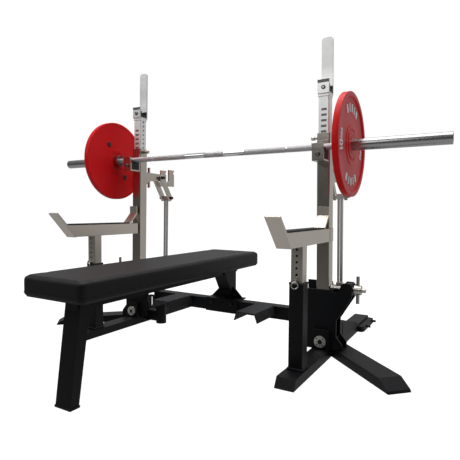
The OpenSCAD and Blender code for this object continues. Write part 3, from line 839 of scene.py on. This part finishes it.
            # The slot is cut by two planes and sunk
            across = Vector((0, math.cos(turn + 0.9), math.sin(turn + 0.9)))
            for offset in (-SLOT_HALF, SLOT_HALF):
                pick(plug, faces=lambda f: f.normal.x * sign < -0.9)
                bpy.ops.mesh.bisect(plane_co=spot + across * offset, plane_no=across)
                leave()
            pick(plug, faces=lambda f: f.normal.x * sign < -0.99 and abs(
                (f.calc_center_median() - spot).dot(across)) < 0.95 * SLOT_HALF and (
                f.calc_center_median() - spot).length < 0.0125)
            bpy.ops.mesh.extrude_region_move(
                TRANSFORM_OT_translate={"value": (sign * 0.002, 0, 0)})
            leave()
            smooth(plug, 30.0)
            parts.append(plug)
        return joined(parts)


class BENCH_OT_shaft(bpy.types.Operator):
    """Makes the gripping shaft with its ring marks"""

    bl_idname = "bench_press.shaft"
    bl_label = "Bar shaft"

    def execute(self, context):
        settings = context.scene.bench_bar
        radius = (SHAFT_HIGH.z - SHAFT_LOW.z) / 2
        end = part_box("bar_sleeve_right")[0].x + 0.0305
        stops = [-end]
        for mark in (-settings.ring_mark, settings.ring_mark):
            stops += [mark - 0.002, mark + 0.002]
        stops.append(end)
        clear_selection()
        bpy.ops.mesh.primitive_cylinder_add(
            vertices=96, radius=radius, depth=stops[1] - stops[0],
            location=((stops[0] + stops[1]) / 2, BAR_Y, BAR_Z), rotation=(0, math.pi / 2, 0))
        shaft = bpy.context.object
        settle(shaft)
        pick(shaft, faces=lambda f: f.normal.x > 0.9)
        groove = 0.0006
        for index in range(1, len(stops) - 1):
            run = stops[index + 1] - stops[index]
            if index % 2:
                bpy.ops.mesh.inset(thickness=groove, depth=0.0)
                self.extrude(run)
            else:
                bpy.ops.mesh.extrude_region_move(TRANSFORM_OT_translate={"value": (0, 0, 0)})
                grow = radius / (radius - groove)
                bpy.ops.transform.resize(
                    value=(1, grow, grow), center_override=(stops[index], BAR_Y, BAR_Z))
                self.extrude(run)
        leave()
        outward(shaft)
        smooth(shaft, 30.0)
        cast(shaft, "grip_shaft", "shaft", "bar", "bar_chrome", "bar_shaft")
        return {"FINISHED"}

    def extrude(self, run):
        bpy.ops.mesh.extrude_region_move(TRANSFORM_OT_translate={"value": (run, 0, 0)})


class BENCH_OT_bolts(bpy.types.Operator):
    """Adds the cap screws of the cups and hooks, and dark discs of painted shade where the socket
    and small holes of each pivot bolt lie in shadow
    """

    bl_idname = "bench_press.bolts"
    bl_label = "Bolts"

    def execute(self, context):
        for side, sign in SIDES:
            for node, height, name, body in (
                    ("bench_cup_", CUP_SCREW_Z, "cup_screw_", "upright_"),
                    ("squat_hook_", HOOK_SCREW_Z, "hook_screw_", "post_")):
                low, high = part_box(node + side)
                spot = Vector(((low.x + high.x) / 2, low.y + 0.004, height))
                if node == "squat_hook_":
                    spot.x += sign * 0.0013
                screw = self.cap_screw(spot, SCREW_RADIUS, SCREW_HEIGHT)
                cast(screw, name + side, "gunmetal", body + side, "black_bolts")
        # Painted shade: dark oxide discs, barely proud of each pivot bolt, stand in for its
        # shadowed socket and four small holes
        socket_shades = []
        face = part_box("pivot_bolts")[0].y
        for _side, sign in SIDES:
            spot = Vector((sign * PIVOT_X, face, PIVOT_Z))
            socket_shades.append(rod(spot - Vector((0, 0.0004, 0)), spot + Vector((0, 0.006, 0)),
                               0.0105, 32))
            for step in range(4):
                turn = math.radians(45 + 90 * step)
                place = spot + Vector((math.cos(turn), 0, math.sin(turn))) * 0.0205
                socket_shades.append(rod(place - Vector((0, 0.0004, 0)), place + Vector((0, 0.001, 0)),
                                   0.0032, 16))
        shade_discs = joined(socket_shades)
        cast(shade_discs, "pivot_socket_shades", "oxide", "frame", "black_bolts")
        return {"FINISHED"}

    def cap_screw(self, spot, radius, height):
        """A button head that faces forward, with a round socket sunk in it."""
        screw = rod(spot, spot - Vector((0, height, 0)), radius, 48)
        pick(screw, faces=lambda f: f.normal.y < -0.9)
        bpy.ops.mesh.inset(thickness=radius * 0.45, depth=0.0)
        bpy.ops.transform.translate(value=(0, -0.0008, 0))
        bpy.ops.mesh.inset(thickness=radius * 0.08, depth=0.0)
        bpy.ops.mesh.extrude_region_move(
            TRANSFORM_OT_translate={"value": (0, height * 0.7, 0)})
        leave()
        soften_edges(screw, 0.0006, 2, 50.0)
        smooth(screw, 30.0)
        return screw


class BENCH_OT_welds(bpy.types.Operator):
    """Lays weld beads along the frame's joints"""

    bl_idname = "bench_press.welds"
    bl_label = "Weld beads"

    def execute(self, context):
        beads = []
        for side, sign in SIDES:
            low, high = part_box("safety_sleeve_" + side)
            floor = low.z
            inset = 0.005
            corners = [(low.x + inset, low.y + inset), (high.x - inset, low.y + inset),
                       (high.x - inset, high.y - inset), (low.x + inset, high.y - inset)]
            for a, b in zip(corners, corners[1:] + corners[:1]):
                beads.append(self.bead((*a, floor + 0.006), (*b, floor + 0.006)))
            beads.append(self.bead(*(
                (sign * BEAM_EDGE, BAR_Y + y, BEAM_WELD_Z) for y in BEAM_WELD_Y)))
            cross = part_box("cross_member")
            for y in (cross[0].y, cross[1].y):
                beads.append(self.bead(*(
                    (sign * x, y, cross[1].z - 0.064) for x in CROSS_WELD_X)))
        body = joined(beads)
        smooth(body, 50.0)
        cast(body, "weld_beads", "weld", "frame", "satin_black_frame")
        return {"FINISHED"}

    def bead(self, start, end, radius=0.0026, pitch=0.0042):
        """Overlapping ripples of one bead, modelled once and repeated."""
        start, end = Vector(start), Vector(end)
        count = max(2, int((end - start).length / pitch))
        clear_selection()
        bpy.ops.mesh.primitive_uv_sphere_add(segments=8, ring_count=5, radius=radius)
        obj = bpy.context.object
        obj.rotation_euler = (end - start).to_track_quat("Z", "Y").to_euler()
        obj.scale = (1.0, 1.0, 1.25)
        obj.location = start
        settle(obj)
        step = (end - start) / count
        apply_modifier(obj, "ARRAY", count=count + 1, use_relative_offset=False,
                       use_constant_offset=True, constant_offset_displace=step)
        return obj


class BENCH_OT_stage(bpy.types.Operator):
    """Adds the floor, the light and the camera"""

    bl_idname = "bench_press.stage"
    bl_label = "Stage"

    def execute(self, context):
        settings = context.scene.bench_stage
        scene = context.scene
        clear_selection()
        bpy.ops.mesh.primitive_plane_add(size=80.0, location=(0, 0, 0))
        floor = named(bpy.context.object, "floor")
        coat = Finish("floor_paint", Roughness=0.9)
        colour = tuple(settings.floor)
        coat.set("Base Color", coat.blend(coat.noise(0.6), tint(colour, 0.16), tint(colour, 0.17)))
        coat.set("Specular IOR Level", 0.0)
        coat.set("Emission Color", colour)
        coat.set("Emission Strength", 1.0)
        floor.data.materials.append(coat.mat)
        floor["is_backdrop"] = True
        floor.visible_glossy = False
        floor.visible_diffuse = False
        self.room(scene, settings)
        self.lamp("front_box", (-1.9, -3.7, 3.4), (0.3, 0.0, 1.0), (4.4, 2.6), 60.0)
        self.lamp("top_box", (0.0, 0.2, 4.3), (0.0, 0.0, 0.4), (4.0, 4.0), 150.0)
        self.camera(scene)
        scene.view_settings.view_transform = "Standard"
        scene.view_settings.look = "None"
        return {"FINISHED"}

    def room(self, scene, settings):
        """A pale room to look at, with less light of its own than the lamps give."""
        world = bpy.data.worlds.new("room")
        scene.world = world
        world.use_nodes = True
        tree = world.node_tree
        back = tree.nodes["Background"]
        back.inputs["Color"].default_value = (1.0, 1.0, 1.0, 1.0)

        def ramp(value, start, end, low, high):
            node = tree.nodes.new("ShaderNodeMapRange")
            tree.links.new(value, node.inputs["Value"])
            for key, number in (("From Min", start), ("From Max", end)):
                node.inputs[key].default_value = number
            for key, level in (("To Min", low), ("To Max", high)):
                if isinstance(level, float):
                    node.inputs[key].default_value = level
                else:
                    tree.links.new(level, node.inputs[key])
            return node.outputs["Result"]

        room = settings.room
        way = tree.nodes.new("ShaderNodeSeparateXYZ")
        tree.links.new(tree.nodes.new("ShaderNodeTexCoord").outputs["Generated"], way.inputs[0])
        # Dim ahead of the machine, bright behind it and from the floor
        level = ramp(way.outputs["Y"], -0.72, 0.5, 0.16 * room, room)
        level = ramp(way.outputs["Z"], -0.10, -0.60, level, 0.9 * room)
        path = tree.nodes.new("ShaderNodeLightPath")
        seen = ramp(path.outputs["Is Camera Ray"], 0.0, 1.0, level, 1.0)
        tree.links.new(seen, back.inputs["Strength"])

    def lamp(self, name, spot, target, size, power):
        data = bpy.data.lights.new(name, "AREA")
        data.shape = "RECTANGLE"
        data.size, data.size_y = size
        data.energy = power
        obj = bpy.data.objects.new(name, data)
        bpy.context.collection.objects.link(obj)
        obj.location = spot
        obj.rotation_euler = (Vector(target) - Vector(spot)).to_track_quat("-Z", "Y").to_euler()
        obj.visible_camera = False

    def camera(self, scene):
        turn, down, roll = (math.radians(a) for a in CAMERA_ANGLES)
        forward = Vector((-math.sin(turn) * math.cos(down), math.cos(turn) * math.cos(down),
                          -math.sin(down)))
        right = Vector((math.cos(turn), math.sin(turn), 0.0))
        up = right.cross(forward)
        side = right * math.cos(roll) + up * math.sin(roll)
        top = up * math.cos(roll) - right * math.sin(roll)
        data = bpy.data.cameras.new("camera")
        data.sensor_width = 36.0
        data.lens = CAMERA_FOCUS * data.sensor_width
        obj = bpy.data.objects.new("camera", data)
        bpy.context.collection.objects.link(obj)
        basis = Matrix((side, top, -forward)).transposed().to_4x4()
        basis.translation = Vector(CAMERA_SPOT)
        obj.matrix_world = basis
        scene.camera = obj


OPERATORS = (
    BENCH_OT_finishes,
    BENCH_OT_cushion,
    BENCH_OT_discs,
    BENCH_OT_shaft,
    BENCH_OT_bolts,
    BENCH_OT_welds,
    BENCH_OT_stage,
)


class BENCH_PT_panel(bpy.types.Panel):
    """Lists the settings and the steps"""

    bl_idname = "BENCH_PT_panel"
    bl_label = "Bench Press"
    bl_space_type = "VIEW_3D"
    bl_region_type = "UI"
    bl_category = "Bench Press"

    def draw(self, context):
        for group, _kind in GROUPS:
            settings = getattr(context.scene, group)
            box = self.layout.box()
            for key in settings.__annotations__:
                box.prop(settings, key)
        for operator in OPERATORS:
            self.layout.operator(operator.bl_idname)


GROUPS = (
    ("bench_cushion", CushionSettings),
    ("bench_disc", DiscSettings),
    ("bench_bar", BarSettings),
    ("bench_finish", FinishSettings),
    ("bench_stage", StageSettings),
)


def register():
    for _name, kind in GROUPS:
        bpy.utils.register_class(kind)
    for kind in (*OPERATORS, BENCH_PT_panel):
        bpy.utils.register_class(kind)
    for name, kind in GROUPS:
        setattr(bpy.types.Scene, name, bpy.props.PointerProperty(type=kind))


def unregister():
    for name, _kind in GROUPS:
        delattr(bpy.types.Scene, name)
    for kind in (BENCH_PT_panel, *reversed(OPERATORS)):
        bpy.utils.unregister_class(kind)
    for _name, kind in reversed(GROUPS):
        bpy.utils.unregister_class(kind)


def main():
    register()
    for operator in OPERATORS:
        group, name = operator.bl_idname.split(".")
        getattr(getattr(bpy.ops, group), name)()


if __name__ == "__main__":
    main()
